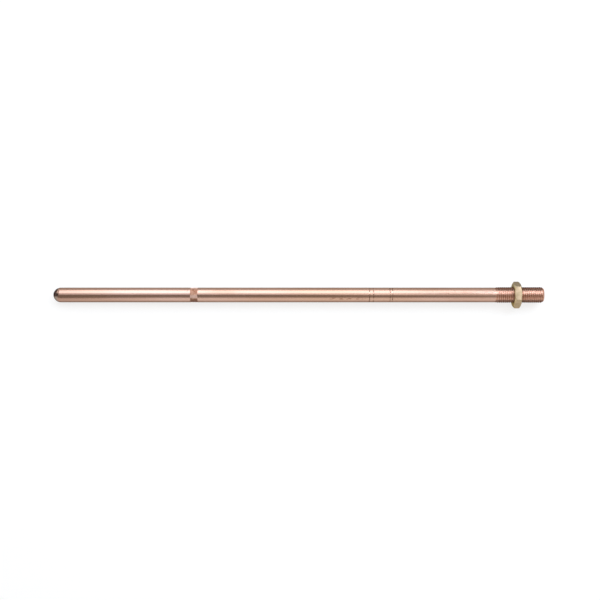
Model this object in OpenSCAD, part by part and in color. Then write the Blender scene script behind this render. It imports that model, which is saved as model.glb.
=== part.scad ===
// Air termination rod: a solid copper rod with a rounded tip, a rolled screw thread and a thin locknut.
// The rod lies along X. The centre of its threaded end face is the origin and the tip points to -X.
// The locknut lies with a flat facing up and a flat facing down.

/* [Rod] */
// Length over all, from the top of the rounded tip to the threaded end
rod_length = 500; // [420:10:1000]
// Diameter of the plain shank
rod_d = 15; // [12:0.5:18]

/* [Thread] */
// Diameter over the crests
thread_d = 16; // [14:0.5:18]
// Distance from crest to crest
thread_pitch = 2; // [1:0.25:2.5]
// Length from the end face to the last mark of the thread on the shank
thread_length = 50; // [38:1:100]
// Turns over which the thread fades into the shank
runout_turns = 2; // [1:1:4]
// Length of the bevel at the threaded end
end_bevel = 2; // [0.5:0.25:3]
// How far below the root of the thread the bevel starts on the end face
bevel_below_root = 0.3; // [0:0.1:1]

/* [Locknut] */
// Width across the flats
nut_flats = 24; // [22:0.5:30]
// Thickness between the two faces
nut_thickness = 7.5; // [5:0.5:10]
// Distance from the threaded end of the rod to the near face of the nut
nut_from_end = 23.5; // [4:0.5:28]
// How far inside the flats the round face ends that the corner chamfer leaves
nut_face_step = 0.6; // [0.2:0.1:1.5]
// Angle between the corner chamfer and the face
nut_chamfer_angle = 30; // [15:5:40]
// Radial gap between the bore and the crests of the thread
bore_clearance = 0.1; // [0.05:0.05:0.2]
// Width of the countersink round the bore
countersink = 0.6; // [0.2:0.1:1]

/* [Rolled marks] */
// Distance from the tip to the middle of the rolled marking band
band_from_tip = 143.8; // [40:0.2:200]
// Width of the marking band
band_width = 7.4; // [4:0.2:12]
// Depth of the marking band below the shank
band_depth = 0.2; // [0.05:0.01:0.4]
// Distance from the tip to the middle of the upper pair of scored lines
upper_pair_from_tip = 324.4; // [220:0.2:330]
// Spacing of the upper pair
upper_pair_spacing = 4.1; // [2:0.1:6]
// Distance from the tip to the middle of the lower pair of scored lines
lower_pair_from_tip = 344.5; // [336:0.2:360]
// Spacing of the lower pair
lower_pair_spacing = 2.5; // [2:0.1:5]
// Width of one scored line
score_width = 0.6; // [0.3:0.1:1]
// Depth of one scored line below the shank
score_depth = 0.1; // [0.05:0.01:0.3]

/* [Hidden] */
$fn = 96;
copper = "#c98a68";
brass = "#d3bf8e";

rod_r = rod_d / 2;
// Metric 60 degree profile: crest flat of an eighth of the pitch, depth of 17/24 of the sharp triangle
thread_angle = 60;
crest_r = thread_d / 2;
crest_flat = thread_pitch / 8;
thread_depth = 17 / 24 * thread_pitch / 2 / tan(thread_angle / 2);
flank_run = thread_depth * tan(thread_angle / 2);
root_r = crest_r - thread_depth;
turns = floor(thread_length / thread_pitch);
bevel_r = root_r - bevel_below_root;

nut_corner_r = nut_flats / 2 / cos(30);
nut_face_r = nut_flats / 2 - nut_face_step;
bore_r = crest_r + bore_clearance;
// How far cutting shapes reach past the material
reach = 1;

// Turns what is drawn upright so that it lies along the rod, its top towards the threaded end
module along_rod() {
    rotate([0, 90, 0]) children();
}

// Share of the full thread form that the crest number i from the end has: 1, then fading to 0
function form(i) = min(1, (turns - i) / (runout_turns + 1));

// Radius between the shank and a thread radius, by the share of the full form
function faded(full_r, share) = rod_r + (full_r - rod_r) * share;

// Four points of one ridge, from the end of the rod inwards
function ridge(i) =
    let (middle = -(i + 0.5) * thread_pitch,
         root = faded(root_r, form(i + 0.5)),
         crest = faded(crest_r, form(i)),
         half_crest = crest_flat / 2,
         half_foot = half_crest + flank_run)
    [[root, middle + half_foot], [crest, middle + half_crest],
     [crest, middle - half_crest], [root, middle - half_foot]];

// Threaded length: ridges of the true section at the true pitch, pointed by a cone at the end
module thread() {
    blank_length = thread_length + reach;
    bevel_slope = (crest_r - bevel_r) / end_bevel;
    intersection() {
        rotate_extrude()
            polygon(concat(
                [[0, 0], [root_r, 0]],
                [for (i = [0 : turns - 1]) each ridge(i)],
                [[rod_r, -turns * thread_pitch], [rod_r, -blank_length], [0, -blank_length]]));
        translate([0, 0, -blank_length])
            cylinder(h = blank_length, r1 = bevel_r + blank_length * bevel_slope, r2 = bevel_r);
    }
}

// Plain round bar with its rounded tip
module bar() {
    translate([0, 0, -rod_length + rod_r]) {
        sphere(r = rod_r);
        cylinder(h = rod_length - rod_r - thread_length, r = rod_r);
    }
}

// Ring that turns a groove of the given width and depth into the shank
module groove(from_tip, width, depth) {
    translate([0, 0, -rod_length + from_tip - width / 2])
        difference() {
            cylinder(h = width, r = rod_r + reach);
            translate([0, 0, -reach]) cylinder(h = width + 2 * reach, r = rod_r - depth);
        }
}

// Two scored lines side by side
module scored_pair(from_tip, spacing) {
    for (side = [-1, 1])
        groove(from_tip + side * spacing / 2, score_width, score_depth);
}

module air_rod() {
    color(copper)
        along_rod() {
            difference() {
                bar();
                groove(band_from_tip, band_width, band_depth);
                scored_pair(upper_pair_from_tip, upper_pair_spacing);
                scored_pair(lower_pair_from_tip, lower_pair_spacing);
            }
            thread();
        }
}

// Hexagon with two level flats, and its corners turned off by a cone from each face
module hexagon_body() {
    cone_r = nut_face_r + nut_thickness / tan(nut_chamfer_angle);
    intersection() {
        rotate([0, 0, 30]) cylinder(h = nut_thickness, r = nut_corner_r, $fn = 6);
        cylinder(h = nut_thickness, r1 = nut_face_r, r2 = cone_r);
        cylinder(h = nut_thickness, r1 = cone_r, r2 = nut_face_r);
    }
}

// Bore that clears the crests, with a countersink at each face
module nut_bore() {
    translate([0, 0, -reach]) cylinder(h = nut_thickness + 2 * reach, r = bore_r);
    translate([0, 0, -reach])
        cylinder(h = countersink + reach, r1 = bore_r + countersink + reach, r2 = bore_r);
    translate([0, 0, nut_thickness - countersink])
        cylinder(h = countersink + reach, r1 = bore_r, r2 = bore_r + countersink + reach);
}

module locknut() {
    color(brass)
        along_rod()
            translate([0, 0, -nut_from_end - nut_thickness])
                difference() {
                    hexagon_body();
                    nut_bore();
                }
}

air_rod();
locknut();
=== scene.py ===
"""Dresses the air termination rod: a threaded copper rod, its brass locknut and a pale studio."""

import math
import random

import bmesh
import bpy
from mathutils import Matrix, Vector


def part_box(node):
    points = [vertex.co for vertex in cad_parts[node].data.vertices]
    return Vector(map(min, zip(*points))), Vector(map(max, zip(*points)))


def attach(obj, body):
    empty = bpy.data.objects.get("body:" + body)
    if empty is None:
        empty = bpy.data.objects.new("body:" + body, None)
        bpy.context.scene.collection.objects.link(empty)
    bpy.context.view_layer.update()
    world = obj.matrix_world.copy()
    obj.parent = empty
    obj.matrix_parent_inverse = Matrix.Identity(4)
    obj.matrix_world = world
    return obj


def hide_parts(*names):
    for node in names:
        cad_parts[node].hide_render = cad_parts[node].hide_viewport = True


bl_info = {
    "name": "Air termination rod",
    "version": (1, 0, 0),
    "blender": (4, 5, 0),
    "location": "3D View > Sidebar > Air rod",
    "description": "Makes a threaded copper air termination rod, its brass locknut and a pale studio",
    "category": "Add Mesh",
}

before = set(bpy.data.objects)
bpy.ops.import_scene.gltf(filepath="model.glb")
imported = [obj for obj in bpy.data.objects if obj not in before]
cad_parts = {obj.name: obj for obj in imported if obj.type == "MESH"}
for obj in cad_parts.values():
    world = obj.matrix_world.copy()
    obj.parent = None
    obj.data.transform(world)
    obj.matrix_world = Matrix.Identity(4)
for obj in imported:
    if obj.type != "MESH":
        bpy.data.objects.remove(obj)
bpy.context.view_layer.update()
ROD_LOW, ROD_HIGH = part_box("air_rod")
NUT_LOW, NUT_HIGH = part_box("locknut")

MM = 0.001
ALONG = Vector((1, 0, 0))
ORIGIN = Vector((0, 0, 0))

# Segments round the axis: a multiple of 12, so that the corners of the nut fall on vertices
SEGMENTS = 120
# Points closer than this are one point
WELD = 1e-6
# Width of the narrow rings that keep the shading of a mark away from the plain bar
SUPPORT = 0.08 * MM
# Width of the ring round the end face that keeps its shading flat
END_RING = 0.3 * MM
# Rings from the middle of the rounded tip to the shank
TIP_RINGS = 24
# How far the walls of the band and of a scored line lean
BAND_WALL = 0.12 * MM
SCORE_WALL = 0.2 * MM
# Edges at least this sharp shade as edges, on the rod and on the nut
ROD_SHARP = math.radians(40)
NUT_SHARP = math.radians(35)
# Edges of the hexagon at least this sharp get a small bevel
NUT_EDGE = math.radians(10)
# A face of the nut whose normal leans along the axis by more than this is turned, not drawn
TURNED_LEAN = 0.01
# A vertex this close to an even place on a rim, in shares of a segment, is on it
ON_PLACE = 0.001

# The thread is a 60 degree one
FLANK = math.radians(60)
# Rounding of its roots and crests, and the flat top that rolling leaves on a crest
ROOT_ROUND = 0.4 * MM
CREST_ROUND = 0.3 * MM
CREST_FLAT = 0.2 * MM

# Columns of raised bars in the band: where each starts and its width, in shares of the band's width
COLUMN_STARTS = (-0.4, -0.19, 0.04, 0.25)
COLUMN_WIDTH = 0.15
# Segments round the axis for the place of one bar, and the share of the places that hold one
BAR_SEGMENTS = 4
BAR_SHARE = 0.6
BAR_SEED = 4
BAR_BEVEL = 0.08 * MM
BAR_HEIGHT = 0.13 * MM

# Places in the rod's list of materials, after the drawn bar, and in the nut's, after the drawn flats
ROLLED_THREAD, ROLLED_BAND, TURNED_END = 1, 2, 3
TURNED_BRASS = 1

# Where painted shade and painted light on the back and the front side fade in: across the rod, from one
# value of Y to another
SHANK_BACK = (4.0 * MM, 6.0 * MM)
SHANK_FRONT = (-5.9 * MM, -6.9 * MM)
THREAD_BACK = (2.8 * MM, 4.4 * MM)
THREAD_FRONT = (-5.2 * MM, -6.2 * MM)
BAND_BACK = (4.5 * MM, 6 * MM)
BAND_FRONT = (-4.5 * MM, -6 * MM)
NUT_BACK = (5.5 * MM, 8 * MM)
# Where the thread's top tone gives way to the front's, which has painted light on the crests and painted
# shade in the roots
THREAD_TOP = (0.2 * MM, -1.8 * MM)
# Length over which the bar gets darker and browner towards the tip, partly its own tone and partly
# painted shade
TIP_TONE_AND_SHADE_LENGTH = 90 * MM
# Distances from the tip over which it turns dull and over which the painted dark reflection starts, how
# far that edge slants across the rod, and the values of Y over which the painted dark part starts
TIP_DULL = (6.5 * MM, 3.5 * MM)
TIP_DARK = (6.1 * MM, 5.3 * MM)
TIP_SLANT = 0.1
TIP_DARK_SIDE = (-3.0 * MM, -1.6 * MM)
# How far from its middle a mark is at full strength, and how far from it the mark ends. Across the
# rod, the Y of its middle comes first
SCORED_TRACE = (0.1 * MM, 0.65 * MM)
NICKS_ALONG = (1.5 * MM, 2.5 * MM)
NICKS_ACROSS = (2.5 * MM, 1.5 * MM, 2.5 * MM)
FLECKS_ALONG = (14 * MM, 20 * MM)
FLECKS_ACROSS = (-4.6 * MM, 0.5 * MM, 1.5 * MM)
# Painted light streak along the band's front
BAND_PAINTED_LIGHT_STREAK = (-2.7 * MM, 1 * MM, 2 * MM)
FLECKS_FROM_TIP = 300 * MM
# How much rougher the oxide in the scored lines is than the bar
SCORED_ROUGHER = 0.25
# Distance between the lines of the drawing die. Real ones are finer; these are as coarse as they
# need to be to show
DIE_LINE = 0.4 * MM
DIE_LINE_BRASS = 0.5 * MM
# Grain of the marking wheel, also coarser than the real one
BAND_GRAIN = 0.8 * MM
# Distance between the rings that a lathe tool leaves, and their depth
TOOL_FEED = 0.3 * MM
TOOL_DEPTH = 0.012 * MM

SENSOR_MM = 36
# The nut's lower flat starts this far from its face, behind the corner chamfer
FLAT_START = 0.35 * MM
# The floor is a disc with a rounded cove and a low wall, in metres
FLOOR_RADIUS = 2.2
COVE_RADIUS = 0.4
WALL_HEIGHT = 1.2
FLOOR_STEPS = 72
COVE_STEPS = 8
# The paper glows where it is seen and mirrored; its own grey only takes the shadow
PAPER_GLOW = 0.75
PAPER_BASE = "#818181"
WORLD_STRENGTH = 0.3
# Lamp off the tip: its place, width, height and brightness
TIP_LAMP_PLACE = (-1.41, 0.63, 0.57)
TIP_LAMP = (0.55, 0.6, 1.8)
# Lamp overhead: its height above the rod, and its width, height and brightness
OVERHEAD_AT = 1.6
OVERHEAD = (1.6, 1.6, 0.95)
# Watts that make a square metre of lamp look as bright as white paper
LAMP_WATTS = 4
# Soft boxes that face the rod. Each row: name; place along the rod; angle from straight up and half
# the angle that the box spans across the rod, in degrees; length; brightness; and roll in degrees,
# which lets the highlight run a little lower at the threaded end
BOX_DISTANCE = 1.2
KEY_BOXES = (
    ("key_inner", -0.41, 44, 24, 1.04, 1.35, -8),
    ("key_outer", -0.44, 32, 35, 1.12, 0.8, -8),
    ("key_end", 0.64, 31, 20, 0.82, 6.0, 0),
)
FILL_BOXES = (
    ("top", 0.3, -2, 12, 0.9, 0.35, 0),
    ("fill", -0.11, -63.5, 22.5, 1.13, 0.28, 0),
    ("fill_end", 0.64, -25, 35, 0.82, 0.25, 0),
)


def linear(hex_colour):
    """Turns an sRGB hex value into the linear colour that shaders and lamps take."""
    channels = [int(hex_colour[i:i + 2], 16) / 255 for i in (1, 3, 5)]
    return [c / 12.92 if c <= 0.04045 else ((c + 0.055) / 1.055) ** 2.4 for c in channels] + [1.0]


def colour_property(name, description, hex_colour):
    """A colour that a user can change."""
    return bpy.props.FloatVectorProperty(name=name, description=description, subtype="COLOR",
                                         size=4, min=0, max=1, default=linear(hex_colour))


class RodSizes(bpy.types.PropertyGroup):
    """Sizes and colours of the copper rod"""

    shank_d: bpy.props.FloatProperty(
        name="Shank diameter", description="Diameter of the plain bar",
        default=15 * MM, unit="LENGTH")
    pitch: bpy.props.FloatProperty(
        name="Thread pitch", description="Distance from crest to crest",
        default=2 * MM, unit="LENGTH")
    thread_length: bpy.props.FloatProperty(
        name="Thread length", description="From the end face to where the thread has faded out",
        default=50 * MM, unit="LENGTH")
    runout: bpy.props.FloatProperty(
        name="Run-out", description="Length over which the thread fades into the shank",
        default=4.5 * MM, unit="LENGTH")
    bevel: bpy.props.FloatProperty(
        name="End bevel", description="Length of the bevel at the threaded end",
        default=2 * MM, unit="LENGTH")
    bevel_d: bpy.props.FloatProperty(
        name="End face diameter", description="Diameter at which the bevel meets the end face",
        default=13 * MM, unit="LENGTH")
    band_from_tip: bpy.props.FloatProperty(
        name="Band from tip", description="From the tip to the middle of the rolled marking band",
        default=143.8 * MM, unit="LENGTH")
    band_width: bpy.props.FloatProperty(
        name="Band width", description="Width of the rolled marking band",
        default=7.4 * MM, unit="LENGTH")
    band_depth: bpy.props.FloatProperty(
        name="Band depth", description="Depth of the band below the shank",
        default=0.2 * MM, unit="LENGTH")
    upper_pair: bpy.props.FloatProperty(
        name="Upper pair from tip", description="From the tip to the middle of the upper scored lines",
        default=324.4 * MM, unit="LENGTH")
    upper_spacing: bpy.props.FloatProperty(
        name="Upper pair spacing", description="Distance between the upper scored lines",
        default=4.1 * MM, unit="LENGTH")
    lower_pair: bpy.props.FloatProperty(
        name="Lower pair from tip", description="From the tip to the middle of the lower scored lines",
        default=344.5 * MM, unit="LENGTH")
    lower_spacing: bpy.props.FloatProperty(
        name="Lower pair spacing", description="Distance between the lower scored lines",
        default=2.5 * MM, unit="LENGTH")
    score_width: bpy.props.FloatProperty(
        name="Score width", description="Width of one scored line",
        default=0.6 * MM, unit="LENGTH")
    score_depth: bpy.props.FloatProperty(
        name="Score depth", description="Depth of one scored line",
        default=0.1 * MM, unit="LENGTH")
    copper: colour_property("Copper", "Clean copper of the shank", "#C9A797")
    brown: colour_property("Brown copper", "Browner patches of the shank", "#C49F89")
    crest: colour_property("Thread crest", "Copper on the crests of the thread", "#CCA692")
    # The roots are lighter than the crests: painted light in the roots
    root: colour_property("Thread root", "Copper in the roots of the thread", "#D8AC98")


class NutSizes(bpy.types.PropertyGroup):
    """Sizes and colours of the brass locknut"""

    face_step: bpy.props.FloatProperty(
        name="Face step", description="How far inside the flats the round face ends",
        default=0.6 * MM, unit="LENGTH")
    chamfer: bpy.props.FloatProperty(
        name="Corner chamfer", description="Angle between the corner chamfer and the face",
        default=math.radians(30), subtype="ANGLE")
    countersink: bpy.props.FloatProperty(
        name="Countersink", description="Width of the countersink outside the thread",
        default=0.5 * MM, unit="LENGTH")
    play: bpy.props.FloatProperty(
        name="Thread play", description="Radial play between the inner and the outer thread",
        default=0.1 * MM, unit="LENGTH")
    edge: bpy.props.FloatProperty(
        name="Edge softness", description="Width of the small bevel on the edges of the flats",
        default=0.2 * MM, unit="LENGTH")
    flats: colour_property("Flats", "Clean brass of the flats", "#BAA588")
    faces: colour_property("Faces", "Clean brass of the turned faces and chamfers", "#CDB88E")


class StudioSizes(bpy.types.PropertyGroup):
    """Camera, floor and lamps"""

    elevation: bpy.props.FloatProperty(
        name="Camera elevation", description="How steeply the camera looks down",
        default=math.radians(82.6), subtype="ANGLE")
    distance: bpy.props.FloatProperty(
        name="Camera distance", description="From the camera to the rod",
        default=1.05, unit="LENGTH")
    lens: bpy.props.FloatProperty(
        name="Focal length", description="Focal length on a 36 mm sensor, in millimetres",
        default=61.7)
    aim_x: bpy.props.FloatProperty(
        name="Aim along the rod", description="Where along the rod the camera looks",
        default=-248.3 * MM, unit="LENGTH")
    aim_y: bpy.props.FloatProperty(
        name="Aim across the rod", description="How far behind the axis the camera looks",
        default=-5.2 * MM, unit="LENGTH")
    paper: colour_property("Paper", "Colour of the floor as the camera sees it", "#FFFFFF")
    key: bpy.props.FloatProperty(
        name="Key brightness", description="Brightness of the key lamps, where 1 is as written",
        default=1, min=0)
    key_colour: colour_property("Key colour", "Colour of the key lamps", "#E8F0FF")


def add_node(tree, kind, inputs=(), **settings):
    """Adds a node and gives its outputs; each input takes a value or an output of another node."""
    node = tree.nodes.new("ShaderNode" + kind)
    for name, value in settings.items():
        setattr(node, name, value)
    if not isinstance(inputs, dict):
        inputs = dict(enumerate(inputs))
    for name, value in inputs.items():
        if isinstance(value, bpy.types.NodeSocket):
            tree.links.new(value, node.inputs[name])
        else:
            node.inputs[name].default_value = value
    return node.outputs


def new_material(name):
    """An empty node material and its tree."""
    material = bpy.data.materials.new(name)
    material.use_nodes = True
    material.node_tree.nodes.clear()
    return material, material.node_tree


def finish_metal(tree, colour, roughness, edge_tint, height=None, depth=0.0, stretch=0.0):
    """Ends a metal's tree.

    The edge tint shows where the surface turns away. Height, with its depth in metres, gives fine
    relief. Stretch, from 0 to 1, draws the gloss out along the rod.
    """
    inputs = {"Metallic": 1.0, "Base Color": colour, "Roughness": roughness,
              "Specular Tint": linear(edge_tint), "Anisotropic": stretch}
    if stretch:
        axis = add_node(tree, "CombineXYZ", {"X": 1.0})
        inputs["Tangent"] = add_node(tree, "VectorTransform", [axis[0]], vector_type="VECTOR",
                                     convert_from="OBJECT", convert_to="WORLD")[0]
    if height is not None:
        inputs["Normal"] = add_node(tree, "Bump", {"Strength": 1.0, "Distance": depth,
                                                   "Height": height})[0]
    shader = add_node(tree, "BsdfPrincipled", inputs)
    add_node(tree, "OutputMaterial", {"Surface": shader[0]})


def patches(tree, place, along, across, detail=2.0, shift=0.0):
    """Noise whose patches are about so long along the axis and so wide across it, in metres."""
    spread = add_node(tree, "Mapping", {"Vector": place, "Location": (shift, shift, 0),
                                        "Scale": (1 / along, 1 / across, 1 / across)})
    return add_node(tree, "TexNoise", {"Vector": spread[0], "Scale": 1.0, "Detail": detail})["Fac"]


def near(tree, value, middle, inner, outer):
    """1 where a value lies within inner of the middle, fading to 0 at outer."""
    gap = add_node(tree, "Math", [value, middle], operation="SUBTRACT")
    gap = add_node(tree, "Math", [gap[0]], operation="ABSOLUTE")
    return add_node(tree, "MapRange", [gap[0], outer, inner])[0]


def inside(tree, pattern, split, along, across):
    """Keeps a pattern only near a place along and across the rod, each as near takes it."""
    window = add_node(tree, "Math", [near(tree, split["X"], *along), near(tree, split["Y"], *across)],
                      operation="MULTIPLY")
    return add_node(tree, "Math", [pattern, window[0]], operation="MULTIPLY")[0]


def painted_side_shade_mask(tree, split, back, front):
    """1 on the rod's back and front sides, where painted shade goes; each fades in over its range across
    the rod.
    """
    back = add_node(tree, "MapRange", [split["Y"], *back])
    front = add_node(tree, "MapRange", [split["Y"], *front])
    return add_node(tree, "Math", [back[0], front[0]], operation="ADD")[0]


def tint(tree, under, over, value, low=0.0, high=1.0, most=1.0):
    """Goes from the colour under to the colour over, at most so far, as a value goes from low to high."""
    share = add_node(tree, "MapRange", [value, low, high, 0.0, most])
    return add_node(tree, "Mix", {0: share[0], 6: under, 7: over}, data_type="RGBA")[2]


def uneven(tree, broad, fine):
    """Roughness from a broad pattern and a fine one, each with the range it has and the one it gives."""
    broad = add_node(tree, "MapRange", broad)
    fine = add_node(tree, "MapRange", fine)
    return add_node(tree, "Math", [broad[0], fine[0]], operation="ADD")[0]


def axis_radius(tree, place):
    """Distance of each point from the rod's axis."""
    across = add_node(tree, "VectorMath", [place, (0, 1, 1)], operation="MULTIPLY")
    return add_node(tree, "VectorMath", [across[0]], operation="LENGTH")["Value"]


def tool_rings(tree, place):
    """Rings that a lathe tool leaves round the axis."""
    ring_place = add_node(tree, "CombineXYZ", [axis_radius(tree, place)])
    return patches(tree, ring_place[0], TOOL_FEED, 1.0)


def scored_lines(sizes):
    """Distance from the tip to the middle of each scored line."""
    pairs = ((sizes.upper_pair, sizes.upper_spacing), (sizes.lower_pair, sizes.lower_spacing))
    return [middle + side * spacing / 2 for middle, spacing in pairs for side in (-1, 1)]


def wear_marks(tree, sizes, place, split, tip_x, copper, roughness):
    """What handling leaves on the drawn bar: oxide in the scored lines, nicks and brown flecks."""
    # The scored lines and their edges hold a little oxide, worn off in places
    scored = 0.0
    for line in scored_lines(sizes):
        trace = near(tree, split["X"], tip_x + line, *SCORED_TRACE)
        scored = add_node(tree, "Math", [trace, scored], operation="ADD")[0]
    worn = patches(tree, place, 2.5 * MM, 2 * MM, shift=17.0)
    worn = add_node(tree, "MapRange", [worn, 0.36, 0.52])
    scored = add_node(tree, "Math", [scored, worn[0]], operation="MULTIPLY")
    copper = tint(tree, copper, linear("#644836"), scored[0])
    rougher = add_node(tree, "Math", [scored[0], SCORED_ROUGHER], operation="MULTIPLY")
    roughness = add_node(tree, "Math", [roughness, rougher[0]], operation="ADD")[0]

    # Small nicks beside the marking band, just behind the top
    nicks = patches(tree, place, 1.2 * MM, 1.6 * MM, detail=1.0, shift=4.0)
    nicks = add_node(tree, "MapRange", [nicks, 0.5, 0.6])
    nicks_x = tip_x + sizes.band_from_tip - sizes.band_width - 0.5 * MM
    nicks = inside(tree, nicks[0], split, (nicks_x, *NICKS_ALONG), NICKS_ACROSS)
    copper = tint(tree, copper, linear("#8C7468"), nicks, most=0.5)

    # A row of brown flecks on the front, on the tip's side of the scored lines
    flecks = patches(tree, place, 4 * MM, 1.5 * MM, shift=3.3)
    flecks = add_node(tree, "MapRange", [flecks, 0.48, 0.58])
    flecks_x = tip_x + FLECKS_FROM_TIP
    flecks = inside(tree, flecks[0], split, (flecks_x, *FLECKS_ALONG), FLECKS_ACROSS)
    copper = tint(tree, copper, linear("#97705A"), flecks, most=0.7)
    return copper, roughness


def tip_dull_and_painted_dark(tree, place, split, tip_x, copper):
    """The rounded tip is dull, with a painted dark reflection on its end and one side that ends in a
    ragged edge.
    """
    wobble = patches(tree, place, 2.5 * MM, 2.5 * MM)
    wobble = add_node(tree, "MapRange", [wobble, 0.0, 1.0, -1.0 * MM, 1.0 * MM])
    from_tip = add_node(tree, "Math", [split["X"], tip_x], operation="SUBTRACT")
    ragged = add_node(tree, "Math", [from_tip[0], wobble[0]], operation="ADD")
    copper = tint(tree, copper, linear("#9C8E82"), ragged[0], *TIP_DULL)

    slant = add_node(tree, "Math", [split["Y"], TIP_SLANT], operation="MULTIPLY")
    end_on = add_node(tree, "Math", [ragged[0], slant[0]], operation="ADD")
    end_on = add_node(tree, "MapRange", [end_on[0], *TIP_DARK])
    side_on = add_node(tree, "Math", [split["Y"], wobble[0]], operation="ADD")
    side_on = add_node(tree, "MapRange", [side_on[0], *TIP_DARK_SIDE])
    dark = add_node(tree, "Math", [end_on[0], side_on[0]], operation="MULTIPLY")
    # Painted dark reflection, purple-brown to brown, on the tip's end and all but its front side
    painted_dark_colour = tint(tree, linear("#33272A"), linear("#5F4C44"), wobble[0], -0.3 * MM, 0.3 * MM)
    return tint(tree, copper, painted_dark_colour, dark[0])


def drawn_copper(sizes, tip_x):
    """Copper bar pulled through a die: satin, with long faint lines and rosy to brown patches."""
    material, tree = new_material("drawn copper")
    place = add_node(tree, "TexCoord")["Object"]
    split = add_node(tree, "SeparateXYZ", [place])

    tone = patches(tree, place, 100 * MM, 60 * MM, detail=1.0, shift=36.7)
    copper = tint(tree, sizes.copper, sizes.brown, tone, 0.35, 0.65)
    # Darker and browner towards the tip: partly the copper's own tone, partly painted shade where that
    # end gets less light
    tip_tone_and_shade = add_node(tree, "MapRange", [split["X"], tip_x + TIP_TONE_AND_SHADE_LENGTH, tip_x],
                      interpolation_type="SMOOTHSTEP")
    copper = tint(tree, copper, linear("#BC9886"), tip_tone_and_shade[0])
    smudge = patches(tree, place, 60 * MM, 8 * MM, shift=7.0)
    copper = tint(tree, copper, linear("#B08468"), smudge, 0.5, 0.8, 0.4)

    lines = patches(tree, place, 80 * MM, DIE_LINE)
    roughness = uneven(tree, (smudge, 0.3, 0.8, 0.19, 0.24), (lines, 0.3, 0.7, -0.02, 0.02))

    # Painted shade: both sides are a little darker and browner than the top, in streaks
    shade_on_sides = painted_side_shade_mask(tree, split, SHANK_BACK, SHANK_FRONT)
    streaky = add_node(tree, "MapRange", [smudge, 0.3, 0.7, 0.6, 0.9])
    shade_on_sides = add_node(tree, "Math", [shade_on_sides, streaky[0]], operation="MULTIPLY")
    copper = tint(tree, copper, linear("#9C8070"), shade_on_sides[0])

    copper, roughness = wear_marks(tree, sizes, place, split, tip_x, copper, roughness)
    copper = tip_dull_and_painted_dark(tree, place, split, tip_x, copper)
    finish_metal(tree, copper, roughness, "#989898", lines, 0.002 * MM)
    return material


def rolled_copper(sizes, root_r, crest_r):
    """Thread pressed into the bar by dies. On top its roots are painted lighter than its crests; on the
    front its crests are painted lighter and its roots darker: painted light and shade.
    """
    material, tree = new_material("rolled copper thread")
    place = add_node(tree, "TexCoord")["Object"]
    split = add_node(tree, "SeparateXYZ", [place])
    # Where the roots' tone starts wobbles a little from place to place
    root_tone_wobble = patches(tree, place, 4 * MM, 2 * MM, detail=3.0)
    root_tone_wobble = add_node(tree, "MapRange", [root_tone_wobble, 0.2, 0.8, -0.02 * MM, 0.02 * MM])
    depth = add_node(tree, "Math", [axis_radius(tree, place), root_tone_wobble[0]], operation="ADD")
    depth = add_node(tree, "MapRange", [depth[0], crest_r - 0.15 * MM, root_r + 0.1 * MM])

    # Painted light and shade on the front: its crests are painted lighter and its roots painted darker
    crest = tint(tree, sizes.crest, linear("#E2B8A2"), split["Y"], *THREAD_TOP)
    root = tint(tree, sizes.root, linear("#C48E74"), split["Y"], *THREAD_TOP)
    # On top the roots are lighter than the crests: painted light that evens out the shade of the thread's
    # own shape
    copper = tint(tree, crest, root, depth[0])
    # Painted shade: both sides are duller and darker than the top
    shade_on_sides = painted_side_shade_mask(tree, split, THREAD_BACK, THREAD_FRONT)
    copper = tint(tree, copper, linear("#9A7868"), shade_on_sides)
    # Rolling leaves fine marks that follow the thread, so the gloss is drawn out along the rod
    roughness = add_node(tree, "MapRange", [depth[0], 0.0, 1.0, 0.42, 0.46])
    finish_metal(tree, copper, roughness[0], "#303030", stretch=0.9)
    return material


def turned_copper():
    """End face and its bevel, cut on the lathe: clean copper with fine rings round the axis."""
    material, tree = new_material("turned copper")
    place = add_node(tree, "TexCoord")["Object"]
    rings = tool_rings(tree, place)
    stain = patches(tree, place, 3 * MM, 3 * MM, shift=2.0)
    copper = tint(tree, linear("#D6AE9A"), linear("#BC8B74"), stain, 0.4, 0.7)
    roughness = add_node(tree, "MapRange", [rings, 0.3, 0.7, 0.3, 0.4])
    finish_metal(tree, copper, roughness[0], "#9A8274", rings, TOOL_DEPTH)
    return material


def rolled_band(shank_r, depth):
    """The band that the marking wheel leaves: matt, with a dull floor, bars rubbed bright, and painted
    light and shade across it.
    """
    material, tree = new_material("rolled marking band")
    place = add_node(tree, "TexCoord")["Object"]
    split = add_node(tree, "SeparateXYZ", [place])
    grain = patches(tree, place, BAND_GRAIN, BAND_GRAIN, detail=3.0)
    height = axis_radius(tree, place)
    height = add_node(tree, "MapRange", [height, shank_r - depth, shank_r - 0.3 * depth])
    field = patches(tree, place, 6 * MM, 4 * MM, detail=1.0, shift=21.4)
    floor = tint(tree, linear("#A0725A"), linear("#C2967C"), field, 0.35, 0.65)
    bars = tint(tree, linear("#C69A82"), linear("#E6C4AE"), field, 0.35, 0.65)
    copper = tint(tree, floor, bars, height[0])
    # Painted light and shade: a painted light streak along the front, painted light on the back, and
    # painted shade on the front side
    painted_light_streak = near(tree, split["Y"], *BAND_PAINTED_LIGHT_STREAK)
    copper = tint(tree, copper, linear("#EBD0C2"), painted_light_streak, most=0.8)
    copper = tint(tree, copper, linear("#E4CABC"), split["Y"], *BAND_BACK, 0.6)
    copper = tint(tree, copper, linear("#8E6C5A"), split["Y"], *BAND_FRONT)
    copper = tint(tree, copper, linear("#966A52"), grain, 0.45, 0.75, 0.4)
    roughness = add_node(tree, "MapRange", [grain, 0.3, 0.7, 0.6, 0.75])
    finish_metal(tree, copper, roughness[0], "#989898", grain, 0.05 * MM)
    return material


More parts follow.
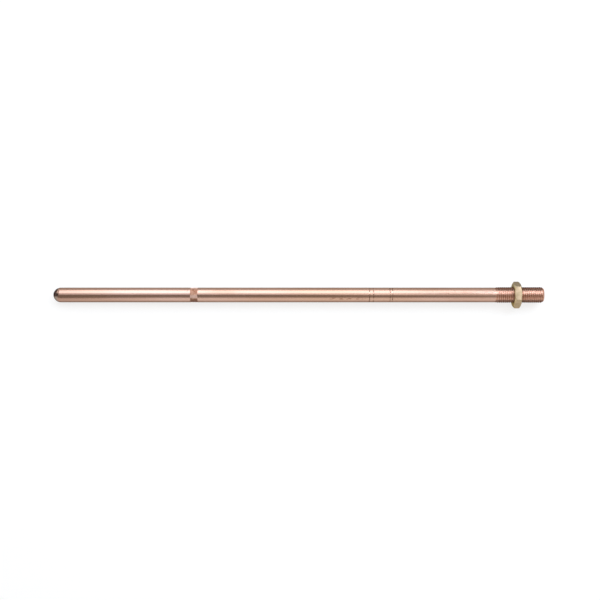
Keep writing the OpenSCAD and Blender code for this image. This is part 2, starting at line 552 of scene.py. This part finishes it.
def stain_and_painted_back_shade(tree, place, clean, stained, dark, stain):
    """Brass colour from clean to stained, with painted shade that darkens the back side."""
    brass = tint(tree, clean, linear(stained), stain, 0.4, 0.75)
    split = add_node(tree, "SeparateXYZ", [place])
    # Painted shade: the back side is darker and greyer
    return tint(tree, brass, linear(dark), split["Y"], *NUT_BACK, 0.6)


def drawn_brass(sizes):
    """Flats of drawn hexagon bar: pale, dull, with fine lines along the bar and a faint stain."""
    material, tree = new_material("drawn brass")
    place = add_node(tree, "TexCoord")["Object"]
    lines = patches(tree, place, 15 * MM, DIE_LINE_BRASS, detail=3.0)
    stain = patches(tree, place, 6 * MM, 4 * MM, detail=3.0, shift=5.0)
    brass = stain_and_painted_back_shade(tree, place, sizes.flats, "#A39272", "#857D6E", stain)
    roughness = uneven(tree, (stain, 0.3, 0.7, 0.5, 0.58), (lines, 0.3, 0.7, -0.03, 0.03))
    finish_metal(tree, brass, roughness, "#9A917E", lines, 0.01 * MM)
    return material


def turned_brass(sizes):
    """Faces and chamfers cut on the lathe: brighter brass with fine rings round the hole."""
    material, tree = new_material("turned brass")
    place = add_node(tree, "TexCoord")["Object"]
    rings = tool_rings(tree, place)
    stain = patches(tree, place, 5 * MM, 5 * MM, detail=3.0)
    brass = stain_and_painted_back_shade(tree, place, sizes.faces, "#A9946C", "#B0A995", stain)
    roughness = uneven(tree, (stain, 0.3, 0.7, 0.3, 0.4), (rings, 0.3, 0.7, -0.04, 0.04))
    finish_metal(tree, brass, roughness, "#9A917E", rings, TOOL_DEPTH)
    return material


def floor_paper(white):
    """Matt white studio paper, lit mostly from below: no gloss, and only a soft shadow."""
    material, tree = new_material("matt floor paper")
    path = add_node(tree, "LightPath")
    seen = add_node(tree, "Math", [path["Is Camera Ray"], path["Is Glossy Ray"]], operation="ADD")
    seen = add_node(tree, "Math", [seen[0], path["Is Transmission Ray"]], operation="ADD")
    glow = add_node(tree, "Math", [seen[0], PAPER_GLOW], operation="MULTIPLY")
    shader = add_node(tree, "BsdfPrincipled", {
        "Base Color": linear(PAPER_BASE), "Roughness": 1.0, "Specular IOR Level": 0.0,
        "Emission Color": white, "Emission Strength": glow[0]})
    add_node(tree, "OutputMaterial", {"Surface": shader[0]})
    return material


def radius_of(vert):
    return math.hypot(vert.co.y, vert.co.z)


def set_radius(vert, radius):
    """Moves a vertex straight out from the axis or in towards it."""
    scale = radius / radius_of(vert)
    vert.co.y *= scale
    vert.co.z *= scale


def revolve(bm, points, climb=0.0):
    """Turns (x, radius) points once round the axis; climb is how far they move along in that turn."""
    # An eighth of the turn is spun and then doubled three times, so that every part is alike
    part = bmesh.new()
    verts = [part.verts.new((x, 0, radius)) for x, radius in points]
    edges = [part.edges.new(pair) for pair in zip(verts, verts[1:])]
    bmesh.ops.spin(part, geom=verts + edges, cent=ORIGIN, axis=ALONG, dvec=ALONG * climb / SEGMENTS,
                   angle=math.pi / 4, steps=SEGMENTS // 8)
    for share in (1 / 8, 1 / 4, 1 / 2):
        both = bmesh.ops.duplicate(part, geom=[*part.verts, *part.edges, *part.faces])
        moved = [v for v in both["geom"] if isinstance(v, bmesh.types.BMVert)]
        bmesh.ops.rotate(part, verts=moved, cent=ORIGIN,
                         matrix=Matrix.Rotation(2 * math.pi * share, 3, ALONG))
        bmesh.ops.translate(part, verts=moved, vec=ALONG * climb * share)
    bmesh.ops.remove_doubles(part, verts=part.verts, dist=WELD)
    turned = bpy.data.meshes.new("turned")
    part.to_mesh(turned)
    part.free()
    bm.from_mesh(turned)
    bpy.data.meshes.remove(turned)


def cut_off(bm, x, side):
    """Drops what lies past a plane across the axis: above x where side is 1, below x where it is -1."""
    bmesh.ops.bisect_plane(bm, geom=[*bm.verts, *bm.edges, *bm.faces], dist=WELD,
                           plane_co=ALONG * x, plane_no=ALONG * side, clear_outer=True)


def rim_at(bm, x):
    """The open edges that lie in the plane at x."""
    return [e for e in bm.edges if e.is_boundary and all(abs(v.co.x - x) < WELD for v in e.verts)]


def even_rim(bm, x):
    """Welds the odd vertices of a round open rim to the nearest of its evenly spaced ones."""
    step = 2 * math.pi / SEGMENTS
    placed, odd = {}, []
    for vert in {v for e in rim_at(bm, x) for v in e.verts}:
        turns = math.atan2(vert.co.y, vert.co.z) / step
        place = round(turns) % SEGMENTS
        if abs(turns - round(turns)) < ON_PLACE and place not in placed:
            placed[place] = vert
        else:
            odd.append((vert, place))
    bmesh.ops.weld_verts(bm, targetmap={vert: placed[place] for vert, place in odd})


def ridge_points(minor_r, major_r, pitch):
    """One ridge of the thread as (x, radius) points, from root to root, without the last."""
    half = []
    for share in (0, 1 / 3, 2 / 3, 1):
        angle = FLANK * share
        half.append((ROOT_ROUND * math.sin(angle), minor_r + ROOT_ROUND * (1 - math.cos(angle))))
    foot_x, foot_r = half[-1]
    shoulder_r = major_r - CREST_ROUND * (1 - math.cos(FLANK))
    shoulder_x = foot_x + (shoulder_r - foot_r) / math.tan(FLANK)
    for share in (1 / 3, 2 / 3):
        half.append((foot_x + (shoulder_x - foot_x) * share, foot_r + (shoulder_r - foot_r) * share))
    crest_x = shoulder_x + CREST_ROUND * math.sin(FLANK)
    for share in (1, 2 / 3, 1 / 3, 0):
        angle = FLANK * share
        half.append((crest_x - CREST_ROUND * math.sin(angle),
                     major_r - CREST_ROUND * (1 - math.cos(angle))))
    return half + [(pitch - x, radius) for x, radius in reversed(half[1:])]


def screw_surface(bm, minor_r, major_r, pitch, low, high):
    """The open surface of a right-hand thread from low to high along the axis."""
    ridge = ridge_points(minor_r, major_r, pitch)
    # Two spare turns at each end are cut off
    first = math.floor(low / pitch) - 2
    last = math.ceil(high / pitch) + 2
    points = [(turn * pitch + x, radius) for turn in range(first, last) for x, radius in ridge]
    revolve(bm, points, climb=pitch)
    cut_off(bm, low, -1)
    cut_off(bm, high, 1)


def band_columns(sizes):
    """Where the raised bars of the marking band start and end, from its middle."""
    width = sizes.band_width
    return [(share * width, (share + COLUMN_WIDTH) * width) for share in COLUMN_STARTS]


def rod_stations(sizes, tip, shank_r, thread_start):
    """The outline of tip and shank as (x, radius) points, with the band and the scored lines."""
    stations = []
    for step in range(TIP_RINGS + 1):
        angle = math.pi / 2 * step / TIP_RINGS
        stations.append((tip + shank_r * (1 - math.cos(angle)), shank_r * math.sin(angle)))
    columns = [x for column in band_columns(sizes) for x in column]
    marks = [(sizes.band_from_tip, sizes.band_width, sizes.band_depth, BAND_WALL, columns)]
    for line in scored_lines(sizes):
        marks.append((line, sizes.score_width, sizes.score_depth, SCORE_WALL, []))
    for middle, width, depth, wall, inner in marks:
        edge = width / 2
        outline = [(-edge - SUPPORT, 0), (-edge, 0), (-edge + wall, depth)]
        outline += [(x, depth) for x in inner]
        outline += [(edge - wall, depth), (edge, 0), (edge + SUPPORT, 0)]
        stations += [(tip + middle + x, shank_r - drop) for x, drop in outline]
    return stations + [(thread_start - SUPPORT, shank_r), (thread_start, shank_r)]


def raise_bars(bm, sizes, middle):
    """Raises short bars from the floor of the marking band, a pattern that says nothing."""
    step = 2 * math.pi / SEGMENTS
    dice = random.Random(BAR_SEED)
    for low, high in band_columns(sizes):
        raised = [dice.random() < BAR_SHARE for _ in range(SEGMENTS // BAR_SEGMENTS)]
        faces = []
        for face in bm.faces:
            centre = face.calc_center_median()
            if not middle + low < centre.x < middle + high:
                continue
            place = int(math.atan2(centre.y, centre.z) / step + SEGMENTS) % SEGMENTS
            if place % BAR_SEGMENTS and raised[place // BAR_SEGMENTS]:
                faces.append(face)
        bmesh.ops.inset_region(bm, faces=faces, thickness=BAR_BEVEL, depth=BAR_HEIGHT,
                               use_even_offset=True)


def thread_radii(pitch):
    """Radius of the thread's crest, which is the widest of the rod, and of its root."""
    crest_r = (ROD_HIGH.z - ROD_LOW.z) / 2
    across = (pitch - CREST_FLAT) / 2 - (ROOT_ROUND + CREST_ROUND) * math.sin(FLANK)
    rounds = (ROOT_ROUND + CREST_ROUND) * (1 - math.cos(FLANK))
    return crest_r, crest_r - across * math.tan(FLANK) - rounds


def make_rod_mesh(sizes, crest_r, root_r):
    """One closed mesh: rounded tip, shank with its rolled marks, thread with its bevelled end."""
    bm = bmesh.new()
    shank_r = sizes.shank_d / 2
    tip, end = ROD_LOW.x, ROD_HIGH.x
    thread_start = end - sizes.thread_length

    screw_surface(bm, root_r, crest_r, sizes.pitch, thread_start, end)
    bevel_r = sizes.bevel_d / 2
    slope = (crest_r - bevel_r) / sizes.bevel

    def bevel_at(vert):
        return bevel_r + slope * (end - vert.co.x)

    # The thread fades smoothly into the shank, and the bevel cuts its end
    for vert in bm.verts:
        share = min(1.0, max(0.0, (vert.co.x - thread_start) / sizes.runout))
        share = share * share * (3 - 2 * share)
        radius = shank_r + (radius_of(vert) - shank_r) * share
        set_radius(vert, min(radius, bevel_at(vert)))
    even_rim(bm, thread_start)

    face = bmesh.ops.contextual_create(bm, geom=rim_at(bm, end))["faces"]
    bmesh.ops.inset_region(bm, faces=face, thickness=END_RING, depth=0)
    revolve(bm, rod_stations(sizes, tip, shank_r, thread_start))
    bmesh.ops.remove_doubles(bm, verts=bm.verts, dist=WELD)
    bmesh.ops.recalc_face_normals(bm, faces=bm.faces)
    band = tip + sizes.band_from_tip
    raise_bars(bm, sizes, band)
    for face in bm.faces:
        x = face.calc_center_median().x
        if all(min(end - v.co.x, bevel_at(v) - radius_of(v)) < WELD for v in face.verts):
            face.material_index = TURNED_END
        elif x > thread_start + sizes.pitch / 4:
            face.material_index = ROLLED_THREAD
        elif abs(x - band) < sizes.band_width / 2:
            face.material_index = ROLLED_BAND
    return bm


def hexagon_radius(angle, flat):
    """Distance from the axis to the side of the hexagon in the direction of an angle from +Z."""
    sector = math.radians(60)
    return flat / math.cos((angle + sector / 2) % sector - sector / 2)


def widen(bm, rim, place):
    """Extrudes a round open rim and moves each new vertex to the (x, radius) that place gives."""
    grown = bmesh.ops.extrude_edge_only(bm, edges=rim)["geom"]
    for vert in grown:
        if isinstance(vert, bmesh.types.BMVert):
            x, radius = place(math.atan2(vert.co.y, vert.co.z))
            set_radius(vert, radius)
            vert.co.x = x
    return [edge for edge in grown if isinstance(edge, bmesh.types.BMEdge)]


def make_nut_mesh(sizes, pitch, crest_r, root_r):
    """One closed mesh: hexagon with cone-chamfered corners, countersinks and a fitting thread."""
    bm = bmesh.new()
    flat = NUT_HIGH.z
    low, high = NUT_LOW.x, NUT_HIGH.x
    face_r = flat - sizes.face_step
    minor_r, major_r = root_r + sizes.play, crest_r + sizes.play
    screw_surface(bm, minor_r, major_r, pitch, low, high)
    sink_r = major_r + sizes.countersink
    for vert in bm.verts:
        depth = min(vert.co.x - low, high - vert.co.x)
        set_radius(vert, max(radius_of(vert), sink_r - max(depth, 0.0)))
    for x in (low, high):
        even_rim(bm, x)

    rims = []
    for x, side in ((low, 1), (high, -1)):
        rim = widen(bm, rim_at(bm, x), lambda angle: (x, face_r))

        def corner(angle):
            radius = hexagon_radius(angle, flat)
            return x + side * (radius - face_r) * math.tan(sizes.chamfer), radius

        rims += widen(bm, rim, corner)
    bmesh.ops.bridge_loops(bm, edges=rims)
    bmesh.ops.recalc_face_normals(bm, faces=bm.faces)
    # The flats face straight out and are drawn; all else is turned
    for face in bm.faces:
        inwards = face.normal.dot(face.calc_center_median()) < 0
        if abs(face.normal.x) > TURNED_LEAN or inwards:
            face.material_index = TURNED_BRASS
    edges = [e for e in bm.edges if min(radius_of(v) for v in e.verts) > face_r - WELD
             and e.calc_face_angle() > NUT_EDGE]
    bmesh.ops.bevel(bm, geom=edges, offset=sizes.edge, offset_type="OFFSET", segments=2,
                    profile=0.5, affect="EDGES", material=-1, clamp_overlap=True)
    bmesh.ops.recalc_face_normals(bm, faces=bm.faces)
    return bm


def finish_mesh(bm, name, materials, body, node, sharp):
    """Writes a closed bmesh to an object at the origin that rides on its body for its node."""
    mesh = bpy.data.meshes.new(name)
    bm.to_mesh(mesh)
    bm.free()
    mesh.shade_smooth()
    mesh.set_sharp_from_angle(angle=sharp)
    for material in materials:
        mesh.materials.append(material)
    piece = bpy.data.objects.new(name, mesh)
    bpy.context.scene.collection.objects.link(piece)
    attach(piece, body)
    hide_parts(node)


class AIRROD_OT_make_rod(bpy.types.Operator):
    """Make the copper rod with its rounded tip, rolled marks and screw thread"""

    bl_idname = "airrod.make_rod"
    bl_label = "Make rod"

    def execute(self, context):
        sizes = context.scene.air_rod
        crest_r, root_r = thread_radii(sizes.pitch)
        bm = make_rod_mesh(sizes, crest_r, root_r)
        materials = [drawn_copper(sizes, ROD_LOW.x), rolled_copper(sizes, root_r, crest_r),
                     rolled_band(sizes.shank_d / 2, sizes.band_depth), turned_copper()]
        finish_mesh(bm, "copper_rod", materials, "rod", "air_rod", ROD_SHARP)
        return {"FINISHED"}


class AIRROD_OT_make_nut(bpy.types.Operator):
    """Make the brass locknut with its chamfered corners and inner thread"""

    bl_idname = "airrod.make_nut"
    bl_label = "Make locknut"

    def execute(self, context):
        sizes = context.scene.locknut
        pitch = context.scene.air_rod.pitch
        crest_r, root_r = thread_radii(pitch)
        bm = make_nut_mesh(sizes, pitch, crest_r, root_r)
        materials = [drawn_brass(sizes), turned_brass(sizes)]
        finish_mesh(bm, "brass_locknut", materials, "nut", "locknut", NUT_SHARP)
        return {"FINISHED"}


def add_lamp(name, place, aim, width, height, radiance, colour=(1, 1, 1)):
    """A soft box that faces a point; radiance is how bright its surface is, where paper is 1."""
    lamp = bpy.data.lights.new(name, "AREA")
    lamp.shape = "RECTANGLE"
    lamp.size, lamp.size_y = width, height
    lamp.energy = LAMP_WATTS * width * height * radiance
    lamp.color = colour[:3]
    box = bpy.data.objects.new(name, lamp)
    box.location = place
    box.rotation_euler = (Vector(aim) - Vector(place)).to_track_quat("-Z", "Y").to_euler()
    box.visible_camera = False
    bpy.context.scene.collection.objects.link(box)
    return box


def add_boxes(boxes, brightness=1.0, colour=(1, 1, 1)):
    """Soft boxes that stand square to the rod, from rows as in KEY_BOXES."""
    for name, x, from_top, half, length, radiance, roll in boxes:
        angle = math.radians(from_top)
        place = (x, BOX_DISTANCE * math.sin(angle), BOX_DISTANCE * math.cos(angle))
        height = 2 * BOX_DISTANCE * math.tan(math.radians(half))
        box = add_lamp(name, place, (x, 0, 0), length, height, radiance * brightness, colour)
        if roll:
            box.rotation_euler.rotate_axis("Z", math.radians(roll))


def add_camera(scene, sizes):
    """The camera, which looks down at the rod from a little in front of it."""
    aim = Vector((sizes.aim_x, sizes.aim_y, 0))
    back = Vector((0, -math.cos(sizes.elevation), math.sin(sizes.elevation)))
    camera_data = bpy.data.cameras.new("camera")
    camera_data.lens = sizes.lens
    camera_data.sensor_width = SENSOR_MM
    camera = bpy.data.objects.new("camera", camera_data)
    camera.location = aim + back * sizes.distance
    camera.rotation_euler = (-back).to_track_quat("-Z", "Y").to_euler()
    scene.collection.objects.link(camera)
    scene.camera = camera


def add_floor(scene, sizes, shank_r):
    """A round white floor with a wall. It carries the nut's lower flat and the tip, so it slopes."""
    touch = Vector((NUT_LOW.x + FLAT_START, 0, NUT_LOW.z))
    slope = (-shank_r - touch.z) / (ROD_LOW.x + shank_r - touch.x)
    cove_start = FLOOR_RADIUS - COVE_RADIUS
    points = [(0, 0), (FLOOR_RADIUS * 0.5, 0), (cove_start, 0)]
    for step in range(1, COVE_STEPS + 1):
        angle = math.pi / 2 * step / COVE_STEPS
        points.append((cove_start + COVE_RADIUS * math.sin(angle), COVE_RADIUS * (1 - math.cos(angle))))
    points.append((FLOOR_RADIUS, WALL_HEIGHT))

    bm = bmesh.new()
    verts = [bm.verts.new((r, 0, z)) for r, z in points]
    edges = [bm.edges.new(pair) for pair in zip(verts, verts[1:])]
    bmesh.ops.spin(bm, geom=verts + edges, cent=ORIGIN, axis=(0, 0, 1), dvec=(0, 0, 0),
                   angle=2 * math.pi, steps=FLOOR_STEPS, use_merge=True)
    bmesh.ops.remove_doubles(bm, verts=bm.verts, dist=WELD)
    bmesh.ops.rotate(bm, verts=bm.verts, cent=ORIGIN,
                     matrix=Matrix.Rotation(-math.atan(slope), 3, "Y"))
    bmesh.ops.translate(bm, verts=bm.verts, vec=(sizes.aim_x, 0, touch.z
                                                 + slope * (sizes.aim_x - touch.x)))
    bmesh.ops.recalc_face_normals(bm, faces=bm.faces)
    bmesh.ops.reverse_faces(bm, faces=bm.faces)

    mesh = bpy.data.meshes.new("floor")
    bm.to_mesh(mesh)
    bm.free()
    mesh.shade_smooth()
    mesh.materials.append(floor_paper(sizes.paper))
    floor = bpy.data.objects.new("floor", mesh)
    scene.collection.objects.link(floor)


def add_lamps(sizes):
    """Key and fill boxes along the rod, one lamp off the tip and one overhead."""
    add_boxes(KEY_BOXES, sizes.key, sizes.key_colour)
    add_boxes(FILL_BOXES)
    add_lamp("left", TIP_LAMP_PLACE, (ROD_LOW.x, 0, 0), *TIP_LAMP)
    overhead = add_lamp("overhead", (sizes.aim_x, 0, OVERHEAD_AT), (sizes.aim_x, 0, 0), *OVERHEAD,
                        linear("#FFFFF6"))
    # It lights the paper; the bar would only show it as a stripe
    overhead.visible_glossy = False


def add_world(scene):
    """A faint warm light from all round."""
    world = bpy.data.worlds.new("studio")
    world.use_nodes = True
    background = world.node_tree.nodes["Background"]
    background.inputs["Color"].default_value = linear("#FFF6EC")
    background.inputs["Strength"].default_value = WORLD_STRENGTH
    scene.world = world


class AIRROD_OT_make_studio(bpy.types.Operator):
    """Make the camera, the floor with its wall and the lamps"""

    bl_idname = "airrod.make_studio"
    bl_label = "Make studio"

    def execute(self, context):
        scene = context.scene
        add_camera(scene, scene.studio)
        add_floor(scene, scene.studio, scene.air_rod.shank_d / 2)
        add_lamps(scene.studio)
        add_world(scene)
        scene.view_settings.view_transform = "Standard"
        return {"FINISHED"}


class AIRROD_PT_sidebar(bpy.types.Panel):
    """Lists the pieces of the air termination rod"""

    bl_label = "Air termination rod"
    bl_idname = "AIRROD_PT_sidebar"
    bl_space_type = "VIEW_3D"
    bl_region_type = "UI"
    bl_category = "Air rod"

    def draw(self, context):
        for operator in (AIRROD_OT_make_studio, AIRROD_OT_make_rod, AIRROD_OT_make_nut):
            self.layout.operator(operator.bl_idname)


CLASSES = (RodSizes, NutSizes, StudioSizes, AIRROD_OT_make_studio, AIRROD_OT_make_rod,
           AIRROD_OT_make_nut, AIRROD_PT_sidebar)


def register():
    for cls in CLASSES:
        bpy.utils.register_class(cls)
    bpy.types.Scene.air_rod = bpy.props.PointerProperty(type=RodSizes)
    bpy.types.Scene.locknut = bpy.props.PointerProperty(type=NutSizes)
    bpy.types.Scene.studio = bpy.props.PointerProperty(type=StudioSizes)


def unregister():
    for name in ("air_rod", "locknut", "studio"):
        delattr(bpy.types.Scene, name)
    for cls in reversed(CLASSES):
        bpy.utils.unregister_class(cls)


def main():
    """Makes everything."""
    register()
    bpy.ops.airrod.make_studio()
    bpy.ops.airrod.make_rod()
    bpy.ops.airrod.make_nut()


if __name__ == "__main__":
    main()
